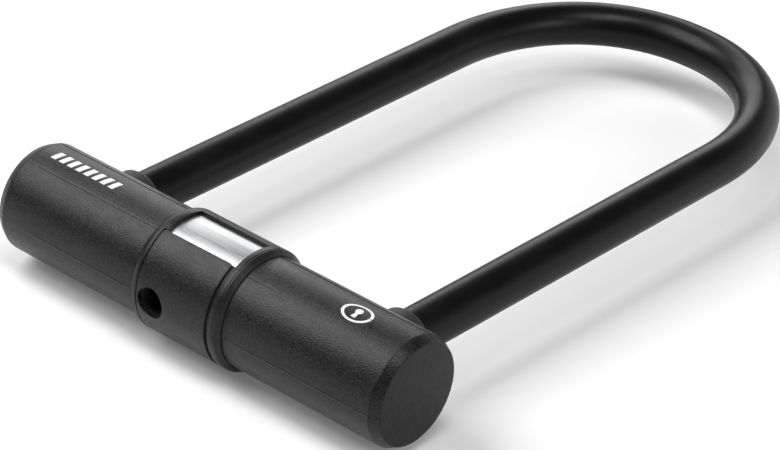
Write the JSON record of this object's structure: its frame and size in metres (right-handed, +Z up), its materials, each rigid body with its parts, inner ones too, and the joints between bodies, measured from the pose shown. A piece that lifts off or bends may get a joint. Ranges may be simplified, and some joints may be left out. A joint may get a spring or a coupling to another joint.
{
  "type": "u lock",
  "caption": "U-shaped bicycle lock with a sleeved steel shackle and a round crossbar that has a keyhole shutter, a disc cylinder and two bolts.",
  "frame": {"origin": "bottom centre of the lock's bounding box as it lies flat, below the middle of the opening", "axes": "+X along the crossbar, keyhole nearer the -X end; +Y from the crossbar towards the bend of the shackle; +Z up, square to the plane of the U"},
  "size_m": [0.1674, 0.2854, 0.0426],
  "materials": {
    "hardened_steel": "hardened steel with a fine ground surface",
    "shackle_vinyl": "smooth satin black vinyl sleeve",
    "cover_plastic": "dark grey moulded plastic with a fine grain",
    "collar_plastic": "dark grey moulded plastic, smoother than the covers",
    "shutter_plastic": "dark grey satin sleeve",
    "cap_plastic": "dark grey smooth moulded plastic",
    "brushed_stainless": "stainless steel brushed along the crossbar",
    "black_rubber": "matt black rubber",
    "cast_zinc": "die-cast zinc, as cast",
    "lock_brass": "machined brass",
    "blackened_steel": "oil-blackened hardened steel"
  },
  "bodies": {
    "crossbar": {"crossbar_tube": "hardened_steel", "left_cover": "cover_plastic", "right_cover": "cover_plastic", "left_leg_seal": "black_rubber", "right_leg_seal": "black_rubber", "collar_frame": "collar_plastic", "guard_band": "brushed_stainless", "left_end_plug": "hardened_steel", "right_end_plug": "hardened_steel", "left_end_pin": "hardened_steel", "right_end_pin": "hardened_steel", "left_end_gasket": "black_rubber", "right_end_gasket": "black_rubber", "left_end_cap": "cap_plastic", "right_end_cap": "cap_plastic", "lock_housing": "cast_zinc", "housing_pin": "hardened_steel", "left_bolt_guide": "cast_zinc", "right_bolt_guide": "cast_zinc", "left_foot_bumper": "black_rubber", "right_foot_bumper": "black_rubber", "keyhole_liner": "black_rubber", "lock_barrel": "blackened_steel"},
    "shackle": {"shackle_rod": "hardened_steel", "shackle_sleeve": "shackle_vinyl"},
    "shutter_sleeve": {"shutter": "shutter_plastic"},
    "key_plug": {"disc_carrier": "lock_brass", "sidebar": "hardened_steel", "drill_guard": "blackened_steel", "bolt_cam": "cast_zinc", "code_disc_1": "lock_brass", "code_disc_2": "lock_brass", "code_disc_3": "lock_brass", "code_disc_4": "lock_brass", "code_disc_5": "lock_brass", "code_disc_6": "lock_brass", "code_disc_7": "lock_brass"},
    "left_bolt_body": {"left_bolt": "hardened_steel"},
    "right_bolt_body": {"right_bolt": "hardened_steel"}
  },
  "joints": [
    {"name": "shackle_slide", "type": "slide", "parent": "crossbar", "child": "shackle", "axis": [0, 1, 0], "range_m": [0, 0.045]},
    {"name": "shutter_turn", "type": "hinge", "parent": "crossbar", "child": "shutter_sleeve", "pos_m": [0, -0.12137, 0.0213], "axis": [1, 0, 0], "range_deg": [0, 36]},
    {"name": "key_turn", "type": "hinge", "parent": "crossbar", "child": "key_plug", "pos_m": [-0.01075, -0.12137, 0.0213], "axis": [0, -0.9986, -0.0523], "range_deg": [0, 90]},
    {"name": "left_bolt_slide", "type": "slide", "parent": "crossbar", "child": "left_bolt_body", "axis": [-1, 0, 0], "range_m": [0, 0.006]},
    {"name": "right_bolt_slide", "type": "slide", "parent": "crossbar", "child": "right_bolt_body", "axis": [1, 0, 0], "range_m": [0, 0.006]}
  ],
  "couplings": [
    {"joint": "left_bolt_slide", "follows": "key_turn", "m_per_rad": 0.0037815},
    {"joint": "right_bolt_slide", "follows": "key_turn", "m_per_rad": 0.0037815}
  ]
}
